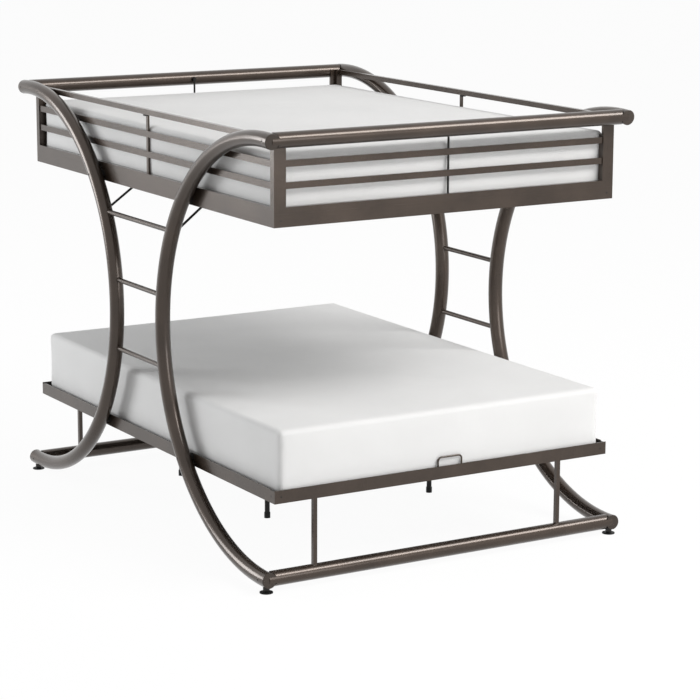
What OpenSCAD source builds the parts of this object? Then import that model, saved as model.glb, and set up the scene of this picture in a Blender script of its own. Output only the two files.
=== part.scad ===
// Adult size metal bunk bed with bowed tube legs, two decks and two mattresses.
// Millimetres. X runs across the width, Y along the ladder sides, Z up; front is -Y.

/* [Overall] */
// Width over the outsides of the legs
overall_w = 1543; // [1450:1:1640]
// Length from leg cap to leg cap along a ladder side
overall_l = 2083; // [2060:1:2130]
// Height of the leg tops with the levelling feet turned in
overall_h = 1622; // [1610:1:1640]
// Length of the two decks between the outer faces of their end rails
deck_l = 1987; // [1960:1:2000]

/* [Tubes] */
// Outside diameter of legs, top rails and floor rails
tube_d = 56; // [52:0.5:57]
// Wall thickness of those tubes
tube_wall = 2; // [1.5:0.1:2.5]
// Dark joint left between a leg and the rail that meets it
joint_gap = 2.5; // [1.5:0.1:3]
// How far a leg runs past upright at its top
top_run = 70; // [60:1:80]
// How far a leg runs past upright at the floor
floor_run = 41.5; // [36:0.5:48]

/* [Decks] */
// Height of the lower deck, where its mattress rests
low_deck = 340.5; // [325:0.5:360]
// Height of the upper deck, where its mattress rests
high_deck = 1313; // [1300:1:1320]
// Height of the lower frame rail
low_rail_h = 47.5; // [42:0.5:52]
// Height of the upper frame rail
high_rail_h = 45; // [40:0.5:48]
// Sheet thickness of the frame rails
sheet = 3; // [2.5:0.1:3.5]
// Height of a slat
slat_h = 20; // [18:0.5:22]
// Width of a slat
slat_w = 30; // [24:1:36]
// Distance between the middles of two slats
slat_pitch = 147; // [140:1:150]

/* [Guard] */
// Height of the bar at the foot of the guard
foot_bar_h = 24; // [20:1:28]
// Height of a guard slat
guard_slat_h = 23; // [18:1:25]
// Middle height of the lower guard slat
low_guard = 1432; // [1425:1:1440]
// Middle height of the upper guard slat
high_guard = 1507.5; // [1500:0.5:1515]
// Side of a square corner post
post_w = 26; // [24:1:28]

/* [Ladder] */
// Diameter of a rung
rung_d = 19; // [17:0.5:22]
// Height of the lowest rung
rung_low = 661; // [640:1:680]
// Height of the middle rung
rung_mid = 930; // [910:1:950]
// Height of the top rung
rung_top = 1182; // [1165:1:1190]

/* [Bedding] */
// Width of the upper mattress
high_bed_w = 1386; // [1340:1:1387]
// Length of the upper mattress
high_bed_l = 1932; // [1880:1:1933]
// Thickness of the upper mattress
high_bed_h = 231; // [200:1:234]
// Width of the lower mattress
low_bed_w = 1376; // [1340:1:1400]
// Length of the lower mattress
low_bed_l = 1962; // [1900:1:1964]
// Thickness of the lower mattress
low_bed_h = 238; // [200:1:242]

/* [Feet] */
// Height of a levelling foot below the leg, turned in
foot_h = 20; // [18:0.5:24]
// Diameter of the pad of a levelling foot
pad_d = 48; // [42:1:52]
// Diameter of the lower deck support legs
stay_d = 20; // [18:0.5:24]

/* [Hidden] */
// Smoothness of round parts
$fn = 72;
bow_facets = 540;
zero = 0;
half = 0.5;
// Clearance left between fixed parts that meet
fit = 0.15;
// Radial clearance of a bolt in its hole and of the foot screw in its insert
bolt_fit = 0.1;
screw_fit = 0.05;
// Extra length that takes a cutter clear of the part it cuts
over = 1;

// Leg arc
tube_r = tube_d * half;
bore_r = tube_r - tube_wall;
leg_r = (overall_h - foot_h - tube_d) * half;
leg_x = overall_w * half - tube_r;
cap_edge = 1.5;
cap_lean = (tube_r - cap_edge) * top_run / leg_r;
arc_y = overall_l * half - top_run - cap_lean;
arc_z = foot_h + tube_r + leg_r;
cap_t = 3;
cap_plug = 10;
turn = 360;
right_angle = 90;
top_angle = right_angle + asin(top_run / leg_r);
floor_angle = right_angle + asin(floor_run / leg_r);
cap_angle = cap_t / leg_r * turn / (2 * PI);
inner_x = leg_x - tube_r;

// Where the leg stands, as its distance from the middle at a given height
function leg_y(z) = arc_y - sqrt(leg_r * leg_r - (z - arc_z) * (z - arc_z));
// Height of the leg middle at a distance beyond the arc middle, at top and floor
function leg_rise(run) = sqrt(leg_r * leg_r - run * run);

// Rails across the width
rail_back = tube_r;
top_rail_y = overall_l * half - rail_back;
top_rail_z = arc_z + leg_rise(top_rail_y - arc_y);
floor_rail_y = arc_y + cap_lean + floor_run - rail_back;
floor_rail_z = arc_z - leg_rise(floor_rail_y - arc_y);
plug_fit = 0.15;
plug_l = 45;
sleeve_r = 6;
shank_r = 4;
shank_grip = 30;
head_flush = 0.2;
socket_r = 3;
socket_deep = 4;
socket_sides = 6;
floor_bolt_in = 13;

// Deck box
leg_gap = 2;
deck_w = overall_w - 2 * (tube_d + leg_gap);
deck_x = deck_w * half;
deck_y = deck_l * half;
low_rail_z = low_deck - slat_h - sheet;
high_rail_z = high_deck - slat_h - sheet;
flange_w = 30;
lip_w = 20;
foot_bar_z = high_rail_z + high_rail_h;
foot_bar_top = foot_bar_z + foot_bar_h;
slat_end = 1;
slat_bore = 1.5;
slats_each_way = 6;

// Guard
bar_deep = 18;
bar_wall = 2;
post_wall = 3.5;
post_plug = 28;
slat_thick = 8;
slat_back = 4;
guard_top = 1600;
top_bar_h = 20;
mid_post_x = deck_x - slat_back - slat_thick - fit;
end_bar_w = 21;
end_bar_low = 1528;
mid_post_w = 15;
mid_post_deep = 7;
mid_lap = 7;
rod_r = 4;
lug_h = 16;
lug_w = 12;
mid_cap_h = 6;

// Ladder bolts
rung_grip = 30;
rung_rise = [rung_low, rung_mid, rung_top];

// Braces under the upper deck
brace_r = 4.5;
brace_low_z = 1198;
brace_slope = 0.73;
brace_y = 2 * slat_pitch;
brace_shift = 3;
brace_turn = 4;
brace_in = 14;

// Deck brackets on the legs
pad_r = 18;
high_bolt_z = high_rail_z + high_rail_h * half;
low_bolt_z = low_rail_z + low_rail_h - 18;
nut_r = 7.5;
nut_t = 6.5;
nut_sides = 6;

// Posts between the lower deck and the floor rails
stand_w = 15.5;
stand_x = [-550, 497];

// Support legs under the lower deck, standing under two of its slats
stay_x = [-277, 469];
stay_slat = [-1, 4];
stay_cap_r = stay_d * half + 2;
stay_cap_h = 22;
stay_cap_floor = 3;
stay_pin_r = 4;
stay_pin_h = 12;

// Mattress stop on the front of the lower deck
stop_r = 3.5;
stop_x = [-34, 67];
stop_top = 400;
stop_bend = 14;

// Corner brackets
angle_leg = 45;
angle_t = 4;
angle_bolt_r = 3;
angle_bolt_at = 26;
angle_head_r = 5.5;
angle_head_t = 2.5;

// Levelling feet
insert_r = 8;
collar_r = 12;
collar_low = 9;
collar_up = 6;
insert_up = 12;
foot_screw_r = 5;
foot_pad_t = 3.5;
foot_neck_r = 9;
foot_neck_t = 3.5;
foot_screw_top = 58;

// Mattress shape, as shares of its size and settings of its rounded edge
bed_corner = 18;
bed_edge = 24;
bed_draw = 1;
bed_small = 8;
bed_crown = 3;
bed_lift = 0.4;
bed_arc_steps = 4;
bed_corner_steps = 6;
edge_shares = [0, 0.29, 0.62, 1];
side_shares = [0.33, 0.67];
crown_shares = [0.28, 0.62, 0.9];

// Colours
bronze = [0.27, 0.25, 0.23];
black = [0.08, 0.08, 0.08];
cloth = [0.94, 0.94, 0.93];

// Places its children on the side of the bed that sx and sy name (-1 or 1),
// drawn for the right side and the rear.
module side(sx, sy) {
    mirror([sx < 0 ? 1 : 0, 0, 0])
    mirror([0, sy < 0 ? 1 : 0, 0])
    children();
}

// Ring sector of round section in the plane of a ladder side, for the right rear leg
module bow(r, from_angle, to_angle) {
    translate([leg_x, arc_y, arc_z])
    rotate([right_angle, zero, -right_angle])
    rotate([zero, zero, from_angle])
    rotate_extrude(angle = to_angle - from_angle, $fn = bow_facets)
    translate([leg_r, zero])
    circle(r = r);
}

// Whole bow, longer than the leg, used to shape what meets the leg
module bow_cutter(r) {
    bow(r, -floor_angle, top_angle);
}

// Cylinder lying across the bed
module across(r, x0, x1, y, z) {
    translate([x0, y, z])
    rotate([zero, right_angle, zero])
    cylinder(r = r, h = x1 - x0);
}

// Cylinder lying along the bed
module along(r, y0, y1, x, z) {
    translate([x, y1, z])
    rotate([right_angle, zero, zero])
    cylinder(r = r, h = y1 - y0);
}

// Block given by its low and high corners
module block(x0, x1, y0, y1, z0, z1) {
    translate([x0, y0, z0])
    cube([x1 - x0, y1 - y0, z1 - z0]);
}

// Cuts and bolts shared by leg, rail and bracket, all for the right rear corner
module rail_bolt_space(y, z, extra) {
    across(sleeve_r + extra, leg_x, leg_x + tube_r + over, y, z);
    across(shank_r + extra, inner_x - over, leg_x, y, z);
}

module leg() {
    difference() {
        bow(tube_r, -floor_angle + cap_angle, top_angle - cap_angle);
        bow(bore_r, -floor_angle, top_angle);
        rail_bolt_space(top_rail_y, top_rail_z, bolt_fit);
        rail_bolt_space(floor_rail_y - floor_bolt_in, floor_rail_z, bolt_fit);
        rail_bolt_space(leg_y(high_bolt_z), high_bolt_z, bolt_fit);
        rail_bolt_space(leg_y(low_bolt_z), low_bolt_z, bolt_fit);
        for (z = rung_rise) {
            along(shank_r + bolt_fit, leg_y(z) - 2 * tube_r, leg_y(z), leg_x, z);
            along(sleeve_r + bolt_fit, leg_y(z), leg_y(z) + 2 * tube_r, leg_x, z);
        }
        translate([leg_x, floor_rail_y, zero])
        cylinder(r = insert_r + bolt_fit, h = floor_rail_z);
    }
}

module leg_front_left() {
    color(bronze)
    side(-1, -1) leg();
}

module leg_front_right() {
    color(bronze)
    side(1, -1) leg();
}

module leg_rear_left() {
    color(bronze)
    side(-1, 1) leg();
}

module leg_rear_right() {
    color(bronze)
    side(1, 1) leg();
}

// Cap with a plug that fills the tube end; drawn on the end face, looking out along Z
module end_cap() {
    translate([zero, zero, -cap_t - cap_plug])
    cylinder(r = bore_r - plug_fit, h = cap_plug + cap_t - cap_edge);
    translate([zero, zero, -cap_t + fit])
    cylinder(r = tube_r, h = cap_t - cap_edge - fit);
    translate([zero, zero, -cap_edge])
    cylinder(r1 = tube_r, r2 = tube_r - cap_edge, h = cap_edge);
}

module leg_end_caps() {
    color(bronze)
    for (sx = [-1, 1])
        for (sy = [-1, 1])
            side(sx, sy) {
                translate([leg_x, arc_y + top_run, arc_z + leg_rise(top_run)])
                rotate([-right_angle - (top_angle - right_angle), zero, zero])
                end_cap();
                translate([leg_x, arc_y + floor_run, arc_z - leg_rise(floor_run)])
                rotate([-right_angle + (floor_angle - right_angle), zero, zero])
                end_cap();
            }
}

// Tube across the width between two legs, shaped to them at both ends
module cross_tube(y, z) {
    difference() {
        across(tube_r, -leg_x, leg_x, y, z);
        across(bore_r, -leg_x - over, leg_x + over, y, z);
        for (sx = [-1, 1])
            side(sx, 1)
            bow_cutter(tube_r + joint_gap);
    }
}

module top_rail_front() {
    color(bronze)
    side(1, -1) cross_tube(top_rail_y, top_rail_z);
}

module top_rail_rear() {
    color(bronze)
    side(1, 1) cross_tube(top_rail_y, top_rail_z);
}

module floor_rail_front() {
    color(bronze)
    side(1, -1) cross_tube(floor_rail_y, floor_rail_z);
}

module floor_rail_rear() {
    color(bronze)
    side(1, 1) cross_tube(floor_rail_y, floor_rail_z);
}

// Plug in a rail end; it reaches the leg and takes the bolt
module rail_plug(y, z, bolt_in) {
    difference() {
        across(bore_r - plug_fit, inner_x - plug_l, leg_x, y, z);
        bow_cutter(tube_r + fit);
        across(shank_r + bolt_fit, inner_x - shank_grip - over, leg_x, y - bolt_in, z);
    }
}

module rail_end_plugs() {
    color(black)
    for (sx = [-1, 1])
        for (sy = [-1, 1])
            side(sx, sy) {
                rail_plug(top_rail_y, top_rail_z, zero);
                rail_plug(floor_rail_y, floor_rail_z, floor_bolt_in);
            }
}

// Bolt with a long sleeve head, flush with the outside of the leg
module sleeve_bolt(y, z, tip_x) {
    stop_x0 = leg_x - sqrt(bore_r * bore_r - sleeve_r * sleeve_r) + fit;
    difference() {
        union() {
            across(sleeve_r, stop_x0, leg_x + tube_r - head_flush, y, z);
            across(shank_r, tip_x, stop_x0 + over, y, z);
        }
        translate([leg_x + tube_r - socket_deep, y, z])
        rotate([zero, right_angle, zero])
        cylinder(r = socket_r, h = socket_deep + over, $fn = socket_sides);
    }
}

module rail_bolts() {
    color(black)
    for (sx = [-1, 1])
        for (sy = [-1, 1])
            side(sx, sy) {
                sleeve_bolt(top_rail_y, top_rail_z, inner_x - shank_grip);
                sleeve_bolt(floor_rail_y - floor_bolt_in, floor_rail_z, inner_x - shank_grip);
            }
}

// Holes for the bolts that hold the angle in each deck corner
module corner_holes(z) {
    for (sx = [-1, 1])
        side(sx, 1) {
            along(angle_bolt_r + bolt_fit, deck_y - flange_w, deck_y + over,
                deck_x - angle_bolt_at, z);
            across(angle_bolt_r + bolt_fit, deck_x - flange_w, deck_x + over,
                deck_y - angle_bolt_at, z);
        }
}

// Rail across the width: upright sheet, a flange inward at the foot, a lip at the top
module end_rail(z, h, lip) {
    difference() {
        union() {
            block(-deck_x, deck_x, deck_y - sheet, deck_y, z, z + h);
            block(-deck_x, deck_x, deck_y - flange_w, deck_y, z, z + sheet);
            if (lip)
                block(-deck_x, deck_x, deck_y - lip_w, deck_y, z + h - sheet, z + h);
        }
        corner_holes(z + h * half);
    }
}

// Rail along the length, between the two end rails
module side_rail(z, h, lip, bolt_z) {
    flange_end = deck_y - flange_w - fit;
    lip_end = deck_y - lip_w - fit;
    wall_end = deck_y - sheet - fit;
    difference() {
        union() {
            block(deck_x - sheet, deck_x, -wall_end, wall_end, z + sheet + fit, z + h - sheet - fit);
            block(deck_x - sheet, deck_x, -flange_end, flange_end, z, z + h);
            block(deck_x - flange_w, deck_x, -flange_end, flange_end, z, z + sheet);
            if (lip)
                block(deck_x - lip_w, deck_x, -lip_end, lip_end, z + h - sheet, z + h);
        }
        for (sy = [-1, 1])
            side(1, sy) {
                across(shank_r + bolt_fit, deck_x - flange_w, deck_x + over, leg_y(bolt_z), bolt_z);
                across(angle_bolt_r + bolt_fit, deck_x - flange_w, deck_x + over,
                    deck_y - angle_bolt_at, z + h * half);
            }
    }
}

module upper_rail_front() {
    color(bronze)
    side(1, -1) end_rail(high_rail_z, high_rail_h, true);
}

module upper_rail_rear() {
    color(bronze)
    side(1, 1) end_rail(high_rail_z, high_rail_h, true);
}

module upper_rail_left() {
    color(bronze)
    side(-1, 1) side_rail(high_rail_z, high_rail_h, true, high_bolt_z);
}

module upper_rail_right() {
    color(bronze)
    side(1, 1) side_rail(high_rail_z, high_rail_h, true, high_bolt_z);
}

module lower_rail_front() {
    color(bronze)
    side(1, -1) end_rail(low_rail_z, low_rail_h, false);
}

module lower_rail_rear() {
    color(bronze)
    side(1, 1) end_rail(low_rail_z, low_rail_h, false);
}

module lower_rail_left() {
    color(bronze)
    side(-1, 1) side_rail(low_rail_z, low_rail_h, false, low_bolt_z);
}

module lower_rail_right() {
    color(bronze)
    side(1, 1) side_rail(low_rail_z, low_rail_h, false, low_bolt_z);
}

// Everything of the guard is cleared where the top rail passes
module clear_of_top_rail() {
    difference() {
        children();
        across(tube_r + fit, -leg_x, leg_x, top_rail_y, top_rail_z);
    }
}

module corner_post() {
    clear_of_top_rail()
    difference() {
        block(deck_x - post_w, deck_x, deck_y - post_w, deck_y, foot_bar_z + fit, guard_top);
        block(deck_x - post_w + post_wall, deck_x - post_wall, deck_y - post_w + post_wall,
            deck_y - post_wall, foot_bar_z, guard_top - post_plug);
    }
}

module post_front_left() {
    color(bronze)
    side(-1, -1) corner_post();
}

module post_front_right() {
    color(bronze)
    side(1, -1) corner_post();
}

module post_rear_left() {
    color(bronze)
    side(-1, 1) corner_post();
}

module post_rear_right() {
    color(bronze)
    side(1, 1) corner_post();
}

// Welded guard panel across the width
module end_guard() {
    end_x = deck_x - post_w - fit;
    clear_of_top_rail()
    union() {
        block(-end_x, end_x, deck_y - bar_deep, deck_y, foot_bar_z + fit, foot_bar_top);
        for (sx = [-1, 1])
            side(sx, 1) {
                block(end_x - end_bar_w, end_x, deck_y - post_w, deck_y,
                    foot_bar_z + fit, end_bar_low);
                block(end_x - end_bar_w, end_x, deck_y - slat_back - slat_thick, deck_y,
                    foot_bar_z + fit, guard_top);
            }
        for (z = [low_guard, high_guard])
            block(-end_x, end_x, deck_y - slat_back - slat_thick, deck_y - slat_back,
                z - guard_slat_h * half, z + guard_slat_h * half);
    }
}

// The same panel with its foot bar bored out as a tube
module bored_end_guard() {
    end_x = deck_x - post_w - fit;
    difference() {
        end_guard();
        block(-end_x - over, end_x + over, deck_y - bar_deep + bar_wall, deck_y - bar_wall,
            foot_bar_z + fit + bar_wall, foot_bar_top - bar_wall);
    }
}

module guard_front() {
    color(bronze)
    side(1, -1) bored_end_guard();
}

module guard_rear() {
    color(bronze)
    side(1, 1) bored_end_guard();
}

// Rod behind the middle of an end guard, with a lug that reaches the top rail
module guard_rod() {
    rod_y = deck_y - slat_back - slat_thick - rod_r - fit;
    difference() {
        union() {
            translate([zero, rod_y, foot_bar_top + fit])
            cylinder(r = rod_r, h = guard_top - foot_bar_top);
            block(-lug_w * half, lug_w * half, rod_y - rod_r, top_rail_y,
                guard_top - lug_h, guard_top);
        }
        across(tube_r + fit, -leg_x, leg_x, top_rail_y, top_rail_z);
    }
}

module guard_rods() {
    color(black)
    for (sy = [-1, 1])
        side(1, sy) guard_rod();
}

// Bar along a ladder side, between the corner posts
module side_bar(z0, z1) {
    end_y = deck_y - post_w - fit;
    difference() {
        block(deck_x - bar_deep, deck_x, -end_y, end_y, z0, z1);
        block(deck_x - bar_deep + bar_wall, deck_x - bar_wall, -end_y - over, end_y + over,
            z0 + bar_wall, z1 - bar_wall);
    }
}

module guard_foot_bar_left() {
    color(bronze)
    side(-1, 1) side_bar(foot_bar_z + fit, foot_bar_top);
}

module guard_foot_bar_right() {
    color(bronze)
    side(1, 1) side_bar(foot_bar_z + fit, foot_bar_top);
}

module guard_top_bar_left() {
    color(bronze)
    side(-1, 1) side_bar(guard_top - top_bar_h, guard_top);
}

module guard_top_bar_right() {
    color(bronze)
    side(1, 1) side_bar(guard_top - top_bar_h, guard_top);
}

// Slats of a ladder side guard: the front pair laps over the middle post
module side_slats() {
    end_y = deck_y - post_w - fit;
    slat_x = deck_x - slat_back;
    for (z = [low_guard, high_guard]) {
        block(slat_x - slat_thick, slat_x, -end_y, mid_lap,
            z - guard_slat_h * half, z + guard_slat_h * half);
        block(slat_x - slat_thick, slat_x, mid_lap + fit, end_y,
            z - guard_slat_h * half, z + guard_slat_h * half);
    }
}

module guard_slats_left() {
    color(bronze)
    side(-1, 1) side_slats();
}

module guard_slats_right() {
    color(bronze)
    side(1, 1) side_slats();
}

module guard_mid_posts() {
    color(bronze)
    for (sx = [-1, 1])
        side(sx, 1)
        block(mid_post_x - mid_post_deep, mid_post_x, -mid_post_w * half, mid_post_w * half,
            foot_bar_top + fit, guard_top - top_bar_h - mid_cap_h - fit);
}

module guard_mid_caps() {
    color(black)
    for (sx = [-1, 1])
        side(sx, 1)
        block(mid_post_x - mid_post_deep, deck_x - fit, -mid_post_w * half, mid_post_w * half,
            guard_top - top_bar_h - mid_cap_h, guard_top - top_bar_h - fit);
}

// Rung between the two legs of a side, shaped to them at both ends
module rung(z) {
    reach = leg_y(z);
    difference() {
        along(rung_d * half, -reach, reach, leg_x, z);
        for (sy = [-1, 1])
            side(1, sy) {
                bow_cutter(tube_r + fit);
                along(shank_r + bolt_fit, reach - tube_r - rung_grip - over, reach, leg_x, z);
            }
    }
}

module rungs_left() {
    color(bronze)
    side(-1, 1)
    for (z = rung_rise)
        rung(z);
}

module rungs_right() {
    color(bronze)
    side(1, 1)
    for (z = rung_rise)
        rung(z);
}

// Bolt through a leg into a rung end; its sleeve head is shaped flush with the leg
module rung_bolt(z) {
    tip = leg_y(z) - tube_r - rung_grip;
    along(shank_r, tip, leg_y(z), leg_x, z);
    intersection() {
        along(sleeve_r, leg_y(z) - 2 * tube_r, leg_y(z), leg_x, z);
        bow_cutter(bore_r - fit);
    }
    intersection() {
        along(sleeve_r, leg_y(z), leg_y(z) + 2 * tube_r, leg_x, z);
        bow_cutter(tube_r - head_flush);
    }
}

module rung_bolts() {
    color(black)
    for (sx = [-1, 1])
        for (sy = [-1, 1])
            for (z = rung_rise)
                side(sx, sy) rung_bolt(z);
}

// Rod from a leg up to the underside of an upper slat
module deck_brace() {
    rise = high_rail_z + sheet - brace_low_z;
    run = rise / brace_slope;
    reach = sqrt((rise + 2 * brace_in) * (rise + 2 * brace_in)
        + (run + 2 * brace_in) * (run + 2 * brace_in));
    difference() {
        translate([inner_x + brace_in, brace_y + brace_shift, brace_low_z - brace_in * brace_slope])
        rotate([zero, zero, brace_turn])
        rotate([zero, -atan(1 / brace_slope), zero])
        cylinder(r = brace_r, h = reach);
        bow_cutter(tube_r + fit);
        block(zero, leg_x, brace_y - slat_pitch * half, brace_y + slat_pitch * half,
            high_rail_z + sheet - fit, high_deck + reach);
    }
}

module deck_braces() {
    color(black)
    for (sx = [-1, 1])
        for (sy = [-1, 1])
            side(sx, sy) deck_brace();
}

// Round spacer between a deck rail and the leg, shaped to the leg
module spacer(z) {
    difference() {
        across(pad_r, deck_x + fit, leg_x, leg_y(z), z);
        bow_cutter(tube_r + fit);
        across(shank_r + bolt_fit, deck_x - over, leg_x, leg_y(z), z);
    }
}

module upper_spacers() {
    color(black)
    for (sx = [-1, 1])
        for (sy = [-1, 1])
            side(sx, sy) spacer(high_bolt_z);
}

module lower_spacers() {
    color(black)
    for (sx = [-1, 1])
        for (sy = [-1, 1])
            side(sx, sy) spacer(low_bolt_z);
}

module spacer_bolts() {
    color(black)
    for (sx = [-1, 1])
        for (sy = [-1, 1])
            for (z = [low_bolt_z, high_bolt_z])
                side(sx, sy)
                sleeve_bolt(leg_y(z), z, deck_x - sheet - nut_t - over);
}

module spacer_nuts() {
    color(black)
    for (sx = [-1, 1])
        for (sy = [-1, 1])
            for (z = [low_bolt_z, high_bolt_z])
                side(sx, sy)
                difference() {
                    translate([deck_x - sheet - nut_t, leg_y(z), z])
                    rotate([zero, right_angle, zero])
                    cylinder(r = nut_r, h = nut_t - fit, $fn = nut_sides);
                    across(shank_r + screw_fit, deck_x - flange_w, deck_x, leg_y(z), z);
                }
}

// Square posts from the floor rails up to the lower deck
module floor_stands() {
    stand_y = deck_y - stand_w;
    color(bronze)
    for (sy = [-1, 1])
        for (x = stand_x)
            side(1, sy)
            difference() {
                block(x - stand_w * half, x + stand_w * half, stand_y, deck_y,
                    floor_rail_z, low_rail_z - fit);
                across(tube_r + fit, -leg_x, leg_x, floor_rail_y, floor_rail_z);
            }
}

// Hollow slat across a deck
module slat(y, z) {
    end_x = deck_x - sheet - slat_end;
    difference() {
        block(-end_x, end_x, y - slat_w * half, y + slat_w * half, z + fit, z + slat_h);
        block(-end_x - over, end_x + over, y - slat_w * half + slat_bore,
            y + slat_w * half - slat_bore, z + fit + slat_bore, z + slat_h - slat_bore);
    }
}

module upper_slats() {
    color(black)
    for (i = [-slats_each_way : slats_each_way])
        slat(i * slat_pitch, high_rail_z + sheet);
}

module lower_slats() {
    color(black)
    for (i = [-slats_each_way : slats_each_way])
        if (i == stay_slat[0] || i == stay_slat[1])
            difference() {
                slat(i * slat_pitch, low_rail_z + sheet);
                for (x = stay_x)
                    translate([x, i * slat_pitch, low_rail_z])
                    cylinder(r = stay_pin_r + bolt_fit, h = sheet + slat_h * half);
            }
        else
            slat(i * slat_pitch, low_rail_z + sheet);
}

// Places its children under the slats that the support legs carry
module at_stays() {
    for (x = stay_x)
        for (i = stay_slat)
            translate([x, i * slat_pitch, zero])
            children();
}

module support_legs() {
    color(black)
    at_stays() {
        translate([zero, zero, stay_cap_floor + fit])
        cylinder(d = stay_d, h = low_rail_z + sheet - stay_cap_floor - fit);
        translate([zero, zero, low_rail_z])
        cylinder(r = stay_pin_r, h = sheet + stay_pin_h);
    }
}

module support_caps() {
    color(black)
    at_stays()
    difference() {
        cylinder(r = stay_cap_r, h = stay_cap_h);
        translate([zero, zero, stay_cap_floor])
        cylinder(r = stay_d * half + bolt_fit, h = stay_cap_h);
    }
}

// Bent rod that keeps the lower mattress from sliding off its deck
module mattress_stop() {
    stop_y = -deck_y + sheet + stop_r + fit;
    color(bronze)
    difference() {
        union() {
            for (x = stop_x)
                translate([x, stop_y, low_rail_z + sheet + fit])
                cylinder(r = stop_r, h = stop_top - stop_r - stop_bend - low_rail_z - sheet);
            across(stop_r, stop_x[0] + stop_bend, stop_x[1] - stop_bend, stop_y, stop_top - stop_r);
            translate([stop_x[0] + stop_bend, stop_y, stop_top - stop_r - stop_bend])
            rotate([right_angle, zero, zero])
            rotate([zero, zero, right_angle])
            rotate_extrude(angle = right_angle)
            translate([stop_bend, zero])
            circle(r = stop_r);
            translate([stop_x[1] - stop_bend, stop_y, stop_top - stop_r - stop_bend])
            rotate([right_angle, zero, zero])
            rotate_extrude(angle = right_angle)
            translate([stop_bend, zero])
            circle(r = stop_r);
        }
        block(stop_x[0] - tube_d, stop_x[1] + tube_d, stop_y - tube_d, -deck_y + sheet + fit,
            low_rail_z, low_rail_z + low_rail_h);
    }
}

// Angle inside a deck corner, for the right rear corner
module corner_angle(z, h) {
    top_x = deck_x - sheet - fit;
    top_y = deck_y - sheet - fit;
    tall_low = z + sheet + fit;
    tall_high = z + h - sheet - fit;
    difference() {
        union() {
            block(top_x - angle_leg, top_x, top_y - angle_t, top_y, tall_low, tall_high);
            block(top_x - angle_t, top_x, top_y - angle_leg, top_y, tall_low, tall_high);
        }
        along(angle_bolt_r + bolt_fit, deck_y - flange_w, deck_y, deck_x - angle_bolt_at, z + h * half);
        across(angle_bolt_r + bolt_fit, deck_x - flange_w, deck_x, deck_y - angle_bolt_at, z + h * half);
    }
}

module corner_angles() {
    color(black)
    for (sx = [-1, 1])
        for (sy = [-1, 1])
            side(sx, sy) {
                corner_angle(low_rail_z, low_rail_h);
                corner_angle(high_rail_z, high_rail_h);
            }
}

// Bolt with its head inside the corner, ending flush with the outside of the rail
module corner_bolt() {
    cylinder(r = angle_bolt_r, h = sheet + angle_t + fit);
    translate([zero, zero, -angle_head_t])
    cylinder(r = angle_head_r, h = angle_head_t - fit);
    translate([zero, zero, -angle_head_t])
    cylinder(r = angle_bolt_r, h = angle_head_t + over);
}

module corner_bolts() {
    head_x = deck_x - sheet - angle_t - fit;
    head_y = deck_y - sheet - angle_t - fit;
    color(black)
    for (sx = [-1, 1])
        for (sy = [-1, 1])
            for (z = [low_rail_z + low_rail_h * half, high_rail_z + high_rail_h * half])
                side(sx, sy) {
                    translate([deck_x - angle_bolt_at, head_y, z])
                    rotate([-right_angle, zero, zero])
                    corner_bolt();
                    translate([head_x, deck_y - angle_bolt_at, z])
                    rotate([zero, right_angle, zero])
                    corner_bolt();
                }
}

// Threaded insert in the floor end of a leg, with a collar below
module foot_insert() {
    difference() {
        union() {
            difference() {
                translate([leg_x, floor_rail_y, collar_low])
                cylinder(r = collar_r, h = foot_h + collar_up - collar_low);
                bow_cutter(tube_r + fit);
            }
            translate([leg_x, floor_rail_y, collar_low])
            cylinder(r = insert_r, h = foot_h + insert_up - collar_low);
        }
        translate([leg_x, floor_rail_y, zero])
        cylinder(r = foot_screw_r + screw_fit, h = foot_h + insert_up + over);
    }
}

module foot_inserts() {
    color(black)
    for (sx = [-1, 1])
        for (sy = [-1, 1])
            side(sx, sy) foot_insert();
}

// Levelling foot: pad moulded on its screw
module level_foot() {
    translate([leg_x, floor_rail_y, zero]) {
        cylinder(d = pad_d, h = foot_pad_t);
        cylinder(r = foot_neck_r, h = foot_pad_t + foot_neck_t);
        cylinder(r = foot_screw_r, h = foot_screw_top);
    }
}

module foot_front_left() {
    color(black)
    side(-1, -1) level_foot();
}

module foot_front_right() {
    color(black)
    side(1, -1) level_foot();
}

module foot_rear_left() {
    color(black)
    side(-1, 1) level_foot();
}

module foot_rear_right() {
    color(black)
    side(1, 1) level_foot();
}

// Mattress shape: rings of points, each a rounded rectangle at its own height.
// w and l are the mattress outline, draw how far the ring is pulled in from it.
function ring(w, l, draw, z) = [
    for (q = [0 : 3])
        for (k = [0 : bed_corner_steps])
            let (
                r = max(bed_corner - draw, bed_small),
                a = (q + k / bed_corner_steps) * right_angle,
                cx = (q == 0 || q == 3 ? 1 : -1) * (w * half - draw - r),
                cy = (q < 2 ? 1 : -1) * (l * half - draw - r)
            )
            [cx + r * cos(a), cy + r * sin(a), z]
];

// Rows of pull-in and height, from the underside up and over the rounded edges
function bed_rows(w, h) = concat(
    [[bed_edge + bed_edge, 0]],
    [for (s = edge_shares)
        [bed_edge * (1 - sin(right_angle * s)), bed_edge * (1 - cos(right_angle * s))]],
    [for (s = side_shares)
        [bed_draw, bed_edge + (h - 2 * bed_edge - bed_crown) * s]],
    [for (s = edge_shares)
        [bed_edge * (1 - cos(right_angle * s)),
            h - bed_crown - bed_edge + bed_edge * sin(right_angle * s)]],
    [for (s = crown_shares)
        [bed_edge + (w * half - bed_edge - bed_edge) * s,
            h - bed_crown + bed_crown * sin(right_angle * min(1, s + 0.1))]]
);

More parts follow.
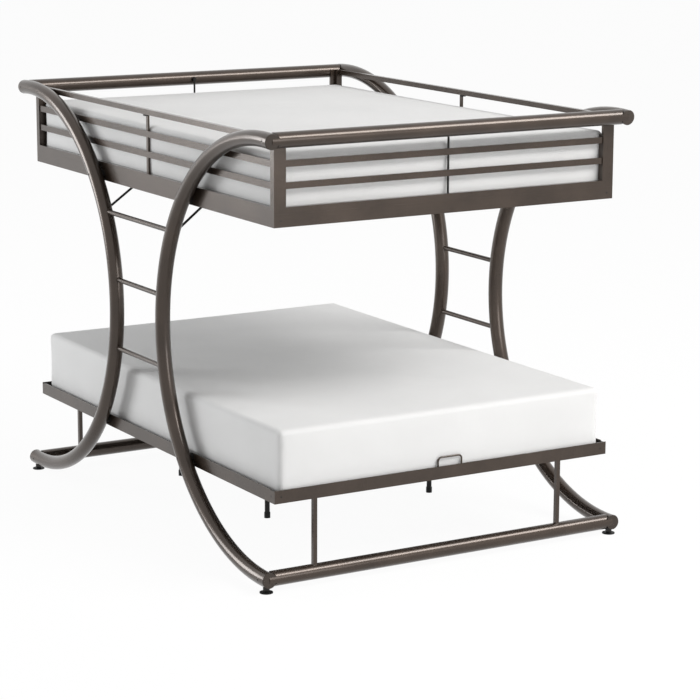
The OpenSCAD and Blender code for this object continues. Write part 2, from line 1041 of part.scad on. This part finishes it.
module mattress(w, l, h) {
    rows = bed_rows(w, h);
    n = 4 * (bed_corner_steps + 1);
    m = len(rows);
    points = [for (row = rows) each ring(w, l, row[0], row[1])];
    low_cap = [[for (i = [0 : n - 1]) i]];
    high_cap = [[for (i = [n - 1 : -1 : 0]) (m - 1) * n + i]];
    walls = [
        for (j = [0 : m - 2])
            for (i = [0 : n - 1])
                let (
                    a = j * n + i,
                    b = j * n + (i + 1) % n
                )
                each [[a, a + n, b + n], [a, b + n, b]]
    ];
    polyhedron(points = points, faces = concat(low_cap, walls, high_cap), convexity = 6);
}

module upper_mattress() {
    color(cloth)
    translate([zero, zero, high_deck + bed_lift])
    mattress(high_bed_w, high_bed_l, high_bed_h);
}

module lower_mattress() {
    color(cloth)
    translate([zero, zero, low_deck + bed_lift])
    mattress(low_bed_w, low_bed_l, low_bed_h);
}

leg_front_left();
leg_front_right();
leg_rear_left();
leg_rear_right();
leg_end_caps();
top_rail_front();
top_rail_rear();
floor_rail_front();
floor_rail_rear();
rail_end_plugs();
rail_bolts();
upper_rail_front();
upper_rail_rear();
upper_rail_left();
upper_rail_right();
lower_rail_front();
lower_rail_rear();
lower_rail_left();
lower_rail_right();
post_front_left();
post_front_right();
post_rear_left();
post_rear_right();
guard_front();
guard_rear();
guard_rods();
guard_foot_bar_left();
guard_foot_bar_right();
guard_top_bar_left();
guard_top_bar_right();
guard_slats_left();
guard_slats_right();
guard_mid_posts();
guard_mid_caps();
rungs_left();
rungs_right();
rung_bolts();
deck_braces();
upper_spacers();
lower_spacers();
spacer_bolts();
spacer_nuts();
floor_stands();
upper_slats();
lower_slats();
support_legs();
support_caps();
mattress_stop();
corner_angles();
corner_bolts();
foot_inserts();
foot_front_left();
foot_front_right();
foot_rear_left();
foot_rear_right();
upper_mattress();
lower_mattress();
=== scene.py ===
import math

import bpy
import numpy as np
from mathutils import Matrix, Vector


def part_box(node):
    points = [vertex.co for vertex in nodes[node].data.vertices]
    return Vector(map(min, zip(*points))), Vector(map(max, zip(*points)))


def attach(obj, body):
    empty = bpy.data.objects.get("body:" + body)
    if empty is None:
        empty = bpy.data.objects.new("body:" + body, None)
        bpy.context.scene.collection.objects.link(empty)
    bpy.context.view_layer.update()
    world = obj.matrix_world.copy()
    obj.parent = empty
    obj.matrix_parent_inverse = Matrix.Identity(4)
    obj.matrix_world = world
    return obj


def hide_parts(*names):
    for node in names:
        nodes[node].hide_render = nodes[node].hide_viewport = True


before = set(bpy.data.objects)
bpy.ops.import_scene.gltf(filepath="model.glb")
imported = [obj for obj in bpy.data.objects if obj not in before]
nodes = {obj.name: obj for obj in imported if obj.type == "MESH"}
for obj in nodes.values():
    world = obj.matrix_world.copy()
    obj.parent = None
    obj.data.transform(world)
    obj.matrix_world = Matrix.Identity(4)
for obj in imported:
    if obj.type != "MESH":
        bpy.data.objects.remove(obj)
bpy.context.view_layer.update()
scene = bpy.context.scene
print("frame: %d nodes" % len(nodes))


# camera: the photograph's own view of the bed, found by fitting its corners and tubes
viewSettings = {
    "azimuth": -30.8439,
    "elevation": 11.9831,
    "roll": 0.228,
    "distance": 9.7095,
    "target": (0.18235, 0.0, 0.59037),
    "lens": 125.357,
    "sensor": 36.0,
}


def makeCamera(s):
    az, el, ro = (math.radians(s[k]) for k in ("azimuth", "elevation", "roll"))
    back = Vector((math.sin(az) * math.cos(el), -math.cos(az) * math.cos(el), math.sin(el)))
    right = (-back).cross(Vector((0, 0, 1))).normalized()
    up = right.cross(-back).normalized()
    turnedRight = right * math.cos(ro) + up * math.sin(ro)
    turnedUp = up * math.cos(ro) - right * math.sin(ro)
    data = bpy.data.cameras.new("photoCamera")
    data.lens = s["lens"]
    data.sensor_width = s["sensor"]
    data.clip_end = 200.0
    camera = bpy.data.objects.new("photoCamera", data)
    scene.collection.objects.link(camera)
    place = Matrix((turnedRight, turnedUp, back)).transposed().to_4x4()
    place.translation = Vector(s["target"]) + back * s["distance"]
    camera.matrix_world = place
    scene.camera = camera


makeCamera(viewSettings)
scene.view_settings.view_transform = "Standard"
print("camera set")


# studio: pale floor, white behind, soft lamps; the long high one draws the streaks on the tubes
studioSettings = {
    "floorHalf": 60.0,
    "floorColour": (0.74, 0.74, 0.74, 1),
    "floorLift": 0.93,     # how much of the white glow the lens sees in the floor
    "floorGlow": 1.02,
    "ambient": 0.42,       # light of the white surroundings on the bed
    "lamps": [
        # name, place, aims at, size, power, colour
        ("frontStrip", (3.9, -5.0, 6.3), (0.3, -0.6, 1.2), (6.4, 2.4), 570.0, (1.0, 0.99, 0.98)),
        ("rearLeftBox", (-5.6, 5.0, 2.2), (-0.7, 0.0, 1.1), (3.0, 3.4), 270.0, (0.98, 0.99, 1.0)),
        ("frontFill", (1.5, -8.0, 2.0), (0.1, 0.0, 0.6), (3.6, 2.6), 110.0, (1.0, 1.0, 1.0)),
    ],
}


def newTree(name):
    material = bpy.data.materials.new(name)
    material.use_nodes = True
    tree = material.node_tree
    tree.nodes.clear()
    return material, tree


def add(tree, kind, inputs=None, **settings):
    node = tree.nodes.new(kind)
    for key, value in settings.items():
        setattr(node, key, value)
    for key, value in (inputs or {}).items():
        if isinstance(value, bpy.types.NodeSocket):
            tree.links.new(value, node.inputs[key])
        else:
            node.inputs[key].default_value = value
    return node


def seenByLens(tree):
    # 1 for rays that the lens, a mirror or glass sends straight to the background
    path = add(tree, "ShaderNodeLightPath")
    seen = path.outputs["Is Camera Ray"]
    for other in ("Is Glossy Ray", "Is Transmission Ray"):
        seen = add(tree, "ShaderNodeMath", {0: seen, 1: path.outputs[other]}, operation="MAXIMUM").outputs[0]
    return seen


def makeStudio(s):
    world = bpy.data.worlds.new("studioWorld")
    world.use_nodes = True
    tree = world.node_tree
    tree.nodes.clear()
    lens = seenByLens(tree)
    dim = add(tree, "ShaderNodeBackground", {"Color": (1, 1, 1, 1), "Strength": s["ambient"]})
    white = add(tree, "ShaderNodeBackground", {"Color": (1, 1, 1, 1), "Strength": 1.0})
    mix = add(tree, "ShaderNodeMixShader", {0: lens, 1: dim.outputs[0], 2: white.outputs[0]})
    add(tree, "ShaderNodeOutputWorld", {"Surface": mix.outputs[0]})
    scene.world = world

    half = s["floorHalf"]
    mesh = bpy.data.meshes.new("floor")
    mesh.from_pydata([(-half, -half, 0), (half, -half, 0), (half, half, 0), (-half, half, 0)], [], [(0, 1, 2, 3)])
    floor = bpy.data.objects.new("floor", mesh)
    scene.collection.objects.link(floor)
    material, tree = newTree("paleFloor")
    paint = add(tree, "ShaderNodeBsdfDiffuse", {"Color": s["floorColour"]})
    glow = add(tree, "ShaderNodeEmission", {"Color": (1, 1, 1, 1), "Strength": s["floorGlow"]})
    lens = seenByLens(tree)
    share = add(tree, "ShaderNodeMath", {0: lens, 1: s["floorLift"]}, operation="MULTIPLY")
    mix = add(tree, "ShaderNodeMixShader", {0: share.outputs[0], 1: paint.outputs[0], 2: glow.outputs[0]})
    add(tree, "ShaderNodeOutputMaterial", {"Surface": mix.outputs[0]})
    mesh.materials.append(material)

    for name, place, target, size, power, colour in s["lamps"]:
        data = bpy.data.lights.new(name, "AREA")
        data.shape = "RECTANGLE"
        data.size, data.size_y = size
        data.energy = power
        data.color = colour
        lamp = bpy.data.objects.new(name, data)
        scene.collection.objects.link(lamp)
        aim = (Vector(target) - Vector(place)).to_track_quat("-Z", "Y")
        lamp.matrix_world = Matrix.Translation(place) @ aim.to_matrix().to_4x4()


makeStudio(studioSettings)
print("studio set")


# finishes: shine is the coat's own gloss, lacquer the clear layer over it, grain and cloud the fineness of its patterns
finishSettings = {
    "bronzeCoat": {
        "dark": (0.042, 0.029, 0.021, 1), "pale": (0.064, 0.045, 0.033, 1),
        "roughness": (0.24, 0.32), "metallic": 0.55, "shine": 0.30, "lacquer": 0.5,
        "grain": 1500.0, "bump": 0.10, "cloud": 5.0,
    },
    "bronzeCap": {
        "dark": (0.036, 0.027, 0.021, 1), "pale": (0.052, 0.040, 0.032, 1),
        "roughness": (0.36, 0.46), "metallic": 0.0, "shine": 0.30, "lacquer": 0.0,
        "grain": 1900.0, "bump": 0.12, "cloud": 9.0,
    },
    "blackCoat": {
        "dark": (0.010, 0.0096, 0.009, 1), "pale": (0.020, 0.019, 0.018, 1),
        "roughness": (0.30, 0.40), "metallic": 0.0, "shine": 0.20, "lacquer": 0.0,
        "grain": 1500.0, "bump": 0.10, "cloud": 7.0,
    },
    "blackSteel": {
        "dark": (0.016, 0.015, 0.014, 1), "pale": (0.032, 0.030, 0.028, 1),
        "roughness": (0.28, 0.40), "metallic": 0.6, "shine": 0.50, "lacquer": 0.0,
        "grain": 2600.0, "bump": 0.06, "cloud": 40.0,
    },
    "blackPlastic": {
        "dark": (0.007, 0.007, 0.007, 1), "pale": (0.014, 0.014, 0.014, 1),
        "roughness": (0.50, 0.62), "metallic": 0.0, "shine": 0.20, "lacquer": 0.0,
        "grain": 1100.0, "bump": 0.20, "cloud": 14.0,
    },
}
coatSettings = {
    "cloudRange": (0.32, 0.68),
    "grainRange": (0.3, 0.7),
    "fleckScale": 0.8,          # of the grain's own scale
    "fleckLight": (1.16, 0.94),
    "fleckReach": 0.5,
    "bumpDepth": 0.0004,
    "lacquerRough": 0.17,
}


def spread(tree, value, span, result):
    # straight-line change of a value from one range into another
    return add(tree, "ShaderNodeMapRange", {
        "Value": value, "From Min": span[0], "From Max": span[1], "To Min": result[0], "To Max": result[1],
    }).outputs[0]


def twoTone(tree, share, first, second):
    mix = add(tree, "ShaderNodeMix", {"Factor": share}, data_type="RGBA")
    mix.inputs[6].default_value = first  # a colour mix has its two colours at 6 and 7
    mix.inputs[7].default_value = second
    return mix.outputs[2]


def noise(tree, where, scale, detail, roughness):
    return add(tree, "ShaderNodeTexNoise", {
        "Vector": where, "Scale": scale, "Detail": detail, "Roughness": roughness,
    }).outputs["Fac"]


def coatMaterial(name, s, c):
    # fine orange-peel bump, cloudy colour change and small paler specks, all on Object coordinates
    material, tree = newTree(name)
    where = add(tree, "ShaderNodeTexCoord").outputs["Object"]
    cloud = noise(tree, where, s["cloud"], 4.0, 0.6)
    grain = noise(tree, where, s["grain"], 2.0, 0.5)
    flake = add(tree, "ShaderNodeTexVoronoi", {"Vector": where, "Scale": s["grain"] * c["fleckScale"]}, feature="F1")
    base = twoTone(tree, spread(tree, cloud, c["cloudRange"], (0.0, 1.0)), s["dark"], s["pale"])
    fleck = spread(tree, flake.outputs["Distance"], (0.0, c["fleckReach"]), c["fleckLight"])
    tint = add(tree, "ShaderNodeVectorMath", {0: base, "Scale": fleck}, operation="SCALE")
    bump = add(tree, "ShaderNodeBump", {"Height": grain, "Strength": s["bump"], "Distance": c["bumpDepth"]})
    shader = add(tree, "ShaderNodeBsdfPrincipled", {
        "Base Color": tint.outputs[0],
        "Roughness": spread(tree, grain, c["grainRange"], s["roughness"]),
        "Metallic": s["metallic"],
        "Specular IOR Level": s["shine"],
        "Coat Weight": s["lacquer"],
        "Coat Roughness": c["lacquerRough"],
        "Normal": bump.outputs[0],
    })
    add(tree, "ShaderNodeOutputMaterial", {"Surface": shader.outputs[0]})
    return material


clothSettings = {
    # the darker colour is painted shade for the gaps between the yarn rows
    "yarn": (0.86, 0.86, 0.855, 1), "paintedGapShade": (0.70, 0.70, 0.695, 1),
    "tilt": (0.35, 0.2),        # turns the rows off the axes, so that they show on every side
    "rowAngles": (45.0, -45.0),
    "threads": 620.0, "wander": 1.2,
    "cloud": 3.0, "cloudRange": (0.3, 0.7), "cloudLight": (0.97, 1.03),
    "bump": 0.22, "bumpDepth": 0.0006, "roughness": 0.86, "sheen": 0.25,
}


def clothMaterial(name, s):
    # knitted white cover: two crossed rows of yarn with painted shade in the low gaps between them, and a soft cloudy
    # tone
    material, tree = newTree(name)
    where = add(tree, "ShaderNodeTexCoord").outputs["Object"]
    rows = []
    for angle in s["rowAngles"]:
        turned = add(tree, "ShaderNodeMapping", {"Vector": where, "Rotation": (*s["tilt"], math.radians(angle))})
        rows.append(add(tree, "ShaderNodeTexWave", {
            "Vector": turned.outputs[0], "Scale": s["threads"], "Distortion": s["wander"],
            "Detail": 1.0, "Detail Scale": 2.0,
        }).outputs["Fac"])
    weave = add(tree, "ShaderNodeMath", {0: rows[0], 1: rows[1]}, operation="MULTIPLY").outputs[0]
    lightness = spread(tree, noise(tree, where, s["cloud"], 5.0, 0.55), s["cloudRange"], s["cloudLight"])
    # painted shade: where the weave is low, between the yarn rows, the cover takes the darker colour
    tone = twoTone(tree, weave, s["paintedGapShade"], s["yarn"])
    base = add(tree, "ShaderNodeVectorMath", {0: tone, "Scale": lightness}, operation="SCALE")
    bump = add(tree, "ShaderNodeBump", {"Height": weave, "Strength": s["bump"], "Distance": s["bumpDepth"]})
    shader = add(tree, "ShaderNodeBsdfPrincipled", {
        "Base Color": base.outputs[0],
        "Roughness": s["roughness"],
        "Sheen Weight": s["sheen"],
        "Normal": bump.outputs[0],
    })
    add(tree, "ShaderNodeOutputMaterial", {"Surface": shader.outputs[0]})
    return material


finishes = {name: coatMaterial(name, s, coatSettings) for name, s in finishSettings.items()}
finishes["coverCloth"] = clothMaterial("coverCloth", clothSettings)

# which finish each CAD node carries; the rest are bronze
nodeFinish = {
    "leg_end_caps": "bronzeCap",
    "rail_end_plugs": "blackPlastic", "guard_mid_caps": "blackPlastic", "support_caps": "blackPlastic",
    "foot_front_left": "blackPlastic", "foot_front_right": "blackPlastic",
    "foot_rear_left": "blackPlastic", "foot_rear_right": "blackPlastic",
    "guard_rods": "blackCoat", "deck_braces": "blackCoat", "upper_slats": "blackCoat",
    "lower_slats": "blackCoat", "support_legs": "blackCoat", "corner_angles": "blackCoat",
    "upper_spacers": "blackCoat", "lower_spacers": "blackCoat",
    "spacer_nuts": "blackSteel", "corner_bolts": "blackSteel", "foot_inserts": "blackSteel",
    "upper_mattress": "coverCloth", "lower_mattress": "coverCloth",
}
for nodeName, nodeObject in nodes.items():
    finish = finishes[nodeFinish.get(nodeName, "bronzeCoat")]
    nodeObject.data.materials.clear()
    nodeObject.data.materials.append(finish)
print("finishes: %d" % len(finishes))


# mattresses
mattressSettings = {
    "corner": 0.018,       # radius of the corners seen from above
    "edge": 0.022,         # radius of the top and bottom edges
    "drawIn": 0.001,       # how far the sides pull in at half height
    "crown": 0.003,        # rise of the middle of the top
    "around": 520,         # points around one ring
    "underRows": 18,
    "edgeRows": 11,
    "sideRows": 24,
    "topRows": 44,
    "smallCorner": 0.006,  # a pulled-in ring keeps at least this radius
    "shrink": 0.0015,      # how much smaller the cover starts, all round, before it swells
    "voxel": 0.018,        # mesh size of the coarse copy that is the cloth
    "held": (0.03, 0.11),  # the springs hold the top and the underside from here inwards
    "rests": 0.06,         # the lowest part of the sides stays put on the deck
    "pressure": 0.8,
    "bending": 6.0,
    "quality": 4,
    "steps": 20,
    "cap": 0.008,          # furthest that a point may swell
    "knee": 0.004,         # over this depth the swelling eases off against the bed's own space
    "clear": 0.0003,       # left between the cover and the end of that space
    "wave": 0.0016,        # depth of the soft waves along the sides
    "waveParts": [(9, 0.7, 1.0), (17, 2.1, 0.7), (31, 4.0, 0.5)],  # waves all round, phase, share
    "waveBase": 0.5, "waveSwing": 0.23,
}


def roundedRing(halfX, halfY, radius, count):
    # equal steps along a rectangle with round corners: the quarter circle that a step falls in is centred on its
    # corner, and on a straight run the point slides along the side between two of those centres
    innerX, innerY = halfX - radius, halfY - radius
    arc = math.pi * radius / 2
    ends = np.cumsum([2 * innerY, arc, 2 * innerX, arc] * 2)
    t = np.linspace(0, ends[-1], count, endpoint=False)
    part = np.searchsorted(ends, t, side="right")
    into = t - np.concatenate([[0], ends])[part]
    corner = part // 2
    onArc = part % 2 == 1
    centreX = np.array([innerX, -innerX, -innerX, innerX])[corner]
    centreY = np.array([innerY, innerY, -innerY, -innerY])[corner]
    angle = corner * math.pi / 2 + np.where(onArc, into / radius, 0)
    left = np.where(onArc, 0, ends[part] - t)  # what is left of a straight run, walked back from its end
    x = centreX + radius * np.cos(angle) + left * np.sin(angle)
    y = centreY + radius * np.sin(angle) - left * np.cos(angle)
    return x, y


def mattressRows(s, height):
    # rows of (pull-in, height): a quarter circle round the lower edge, up the side, a quarter circle round the top edge
    q = np.linspace(0, math.pi / 2, s["edgeRows"])
    e, crown = s["edge"], s["crown"]
    low = np.stack([e * (1 - np.sin(q)), e * (1 - np.cos(q))], 1)
    side = np.linspace(0, 1, s["sideRows"] + 2)[1:-1]
    top = height - crown - e
    sides = np.stack([s["drawIn"] * np.sin(math.pi * side) ** 0.8, e + (top - e) * side], 1)
    high = np.stack([e * (1 - np.cos(q)), top + e * np.sin(q)], 1)
    return np.concatenate([low, sides, high])


def mattressMesh(name, node, s):
    low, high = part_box(node)
    shrink = s["shrink"]
    halfX, halfY = (high.x - low.x) / 2 - shrink, (high.y - low.y) / 2 - shrink
    middle = (low + high) / 2
    n = s["around"]
    rings = []
    for pull, z in mattressRows(s, high.z - low.z - shrink):
        x, y = roundedRing(halfX - pull, halfY - pull, max(s["corner"] - pull, s["smallCorner"]), n)
        rings.append(np.stack([x, y, np.full(n, z)], 1))
    # the top closes over a crown: each ring is the last one drawn towards the middle, raised by a sine
    rim = rings[-1]
    inner = []
    for share in np.linspace(0, 1, s["topRows"] + 1)[1:-1]:
        lift = s["crown"] * np.sin(math.pi / 2 * min(1.0, share * 2.2))
        inner.append(rim * [1 - share, 1 - share, 1] + [0, 0, lift])
    base = rings[0]
    under = [base * [k, k, 1] for k in np.linspace(0.02, 1, s["underRows"])[:-1]]
    stack = under + rings + inner
    points = np.concatenate(stack + [[[0, 0, rim[0, 2] + s["crown"]]], [[0, 0, base[0, 2]]]])
    points += np.array([middle.x, middle.y, low.z])
    m = len(stack)
    i, j = np.meshgrid(np.arange(n), np.arange(m - 1))
    i, j = i.ravel(), j.ravel()
    k = (i + 1) % n
    quads = np.stack([j * n + i, j * n + k, (j + 1) * n + k, (j + 1) * n + i], 1).tolist()
    ring = np.arange(n)
    after = (ring + 1) % n
    topCap = np.stack([(m - 1) * n + ring, (m - 1) * n + after, np.full(n, m * n)], 1).tolist()
    lowCap = np.stack([after, ring, np.full(n, m * n + 1)], 1).tolist()
    mesh = bpy.data.meshes.new(name)
    mesh.from_pydata(points.tolist(), [], quads + topCap + lowCap)
    mesh.polygons.foreach_set("use_smooth", np.ones(len(mesh.polygons), bool))
    mesh.update()
    return mesh


def meshPoints(mesh):
    points = np.empty(len(mesh.vertices) * 3)
    mesh.vertices.foreach_get("co", points)
    return points.reshape(-1, 3)


def shapeNow(piece):
    return bpy.data.meshes.new_from_object(piece.evaluated_get(bpy.context.evaluated_depsgraph_get()))


def easeInside(value, edge, knee):
    # value stays as it is up to knee before the edge, then follows a tanh that never passes the edge
    past = np.maximum(np.abs(value) - (edge - knee), 0) / knee
    return np.where(past > 0, np.sign(value) * (edge - knee + knee * np.tanh(past)), value)


def swellProxy(proxy, size, centre, s):
    # voxel remesh, then Cloth under pressure without gravity, and each move cut to the cap
    remesh = proxy.modifiers.new("evenMesh", "REMESH")
    remesh.mode = "VOXEL"
    remesh.voxel_size = s["voxel"]
    proxy.modifiers.new("threeSided", "TRIANGULATE")
    even = shapeNow(proxy)
    proxy.modifiers.clear()
    proxy.data = even
    start = meshPoints(even)
    # held weight: how far a point lies inside the outline seen from above, as a share of the ramp in held,
    # or how near it is to the deck that the mattress rests on
    inside = (size[:2] / 2 - np.abs(start - centre)[:, :2]).min(axis=1)
    near, deep = s["held"]
    above = start[:, 2] - centre[2] + size[2] / 2
    byDepth = np.clip((inside - near) / (deep - near), 0, 1)
    byDeck = np.clip((s["rests"] - above) / s["rests"] * 2, 0, 1)
    weight = np.round(np.maximum(byDepth, byDeck), 1)
    group = proxy.vertex_groups.new(name="held")
    for level in np.unique(weight):
        group.add(np.nonzero(weight == level)[0].tolist(), float(level), "REPLACE")
    cloth = proxy.modifiers.new("cover", "CLOTH")
    cloth.settings.use_pressure = True
    cloth.settings.uniform_pressure_force = s["pressure"]
    cloth.settings.effector_weights.gravity = 0.0
    cloth.settings.quality = s["quality"]
    cloth.settings.bending_stiffness = s["bending"]
    cloth.settings.vertex_group_mass = group.name
    cloth.point_cache.frame_start, cloth.point_cache.frame_end = 1, s["steps"]
    for step in range(1, s["steps"] + 1):
        scene.frame_set(step)
    move = meshPoints(shapeNow(proxy)) - start
    proxy.modifiers.clear()
    scene.frame_set(1)
    far = np.linalg.norm(move, axis=1, keepdims=True)
    print("%s: %d points, swelled by up to %.1f mm" % (proxy.name, len(start), far.max() * 1000))
    return start + move * np.minimum(1.0, s["cap"] / np.maximum(far, 1e-9))


def swellCover(piece, node, s):
    # the fine cover is bound to a plain copy of itself, and follows the copy's swelling
    low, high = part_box(node)
    centre = np.array((low + high) / 2)
    size = np.array(high - low)
    proxy = bpy.data.objects.new(piece.name + "Proxy", piece.data.copy())
    scene.collection.objects.link(proxy)
    swelled = swellProxy(proxy, size, centre, s)
    follow = piece.modifiers.new("follow", "SURFACE_DEFORM")
    follow.target = proxy
    with bpy.context.temp_override(object=piece, active_object=piece):
        bpy.ops.object.surfacedeform_bind(modifier=follow.name)
    print("%s: bound %s" % (piece.name, follow.is_bound))
    proxy.data.vertices.foreach_set("co", swelled.ravel())
    proxy.data.update()
    fuller = shapeNow(piece)
    piece.modifiers.clear()
    bpy.data.objects.remove(proxy)
    piece.data = fuller

    local = meshPoints(fuller) - centre
    # waves: three sines of the way round the sides, deepest at half height and gone at the edges
    way = np.arctan2(local[:, 1], local[:, 0])
    waves = sum(part * np.sin(count * way + phase) for count, phase, part in s["waveParts"])
    belly = np.clip(1 - (2 * local[:, 2] / size[2]) ** 2, 0, 1)
    share = np.abs(local[:, :2]) / (size[:2] / 2)
    outward = np.sign(local[:, :2]) * (share == share.max(axis=1, keepdims=True))
    nearSide = np.clip((share.max(axis=1) - 0.9) / 0.1, 0, 1)
    depth = s["wave"] * (s["waveBase"] + s["waveSwing"] * waves) * belly * nearSide
    local[:, :2] -= outward * depth[:, None]
    for axis in (0, 1, 2):
        local[:, axis] = easeInside(local[:, axis], size[axis] / 2 - s["clear"], s["knee"])
    fuller.vertices.foreach_set("co", (local + centre).ravel())
    fuller.polygons.foreach_set("use_smooth", np.ones(len(fuller.polygons), bool))
    fuller.update()


def makeMattress(name, node, body, s):
    mesh = mattressMesh(name, node, s)
    piece = bpy.data.objects.new(name, mesh)
    scene.collection.objects.link(piece)
    swellCover(piece, node, s)
    piece.data.materials.clear()
    piece.data.materials.append(finishes["coverCloth"])
    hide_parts(node)
    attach(piece, body)


makeMattress("lowerMattressCover", "lower_mattress", "lower_mattress", mattressSettings)
makeMattress("upperMattressCover", "upper_mattress", "upper_mattress", mattressSettings)
print("mattresses made")
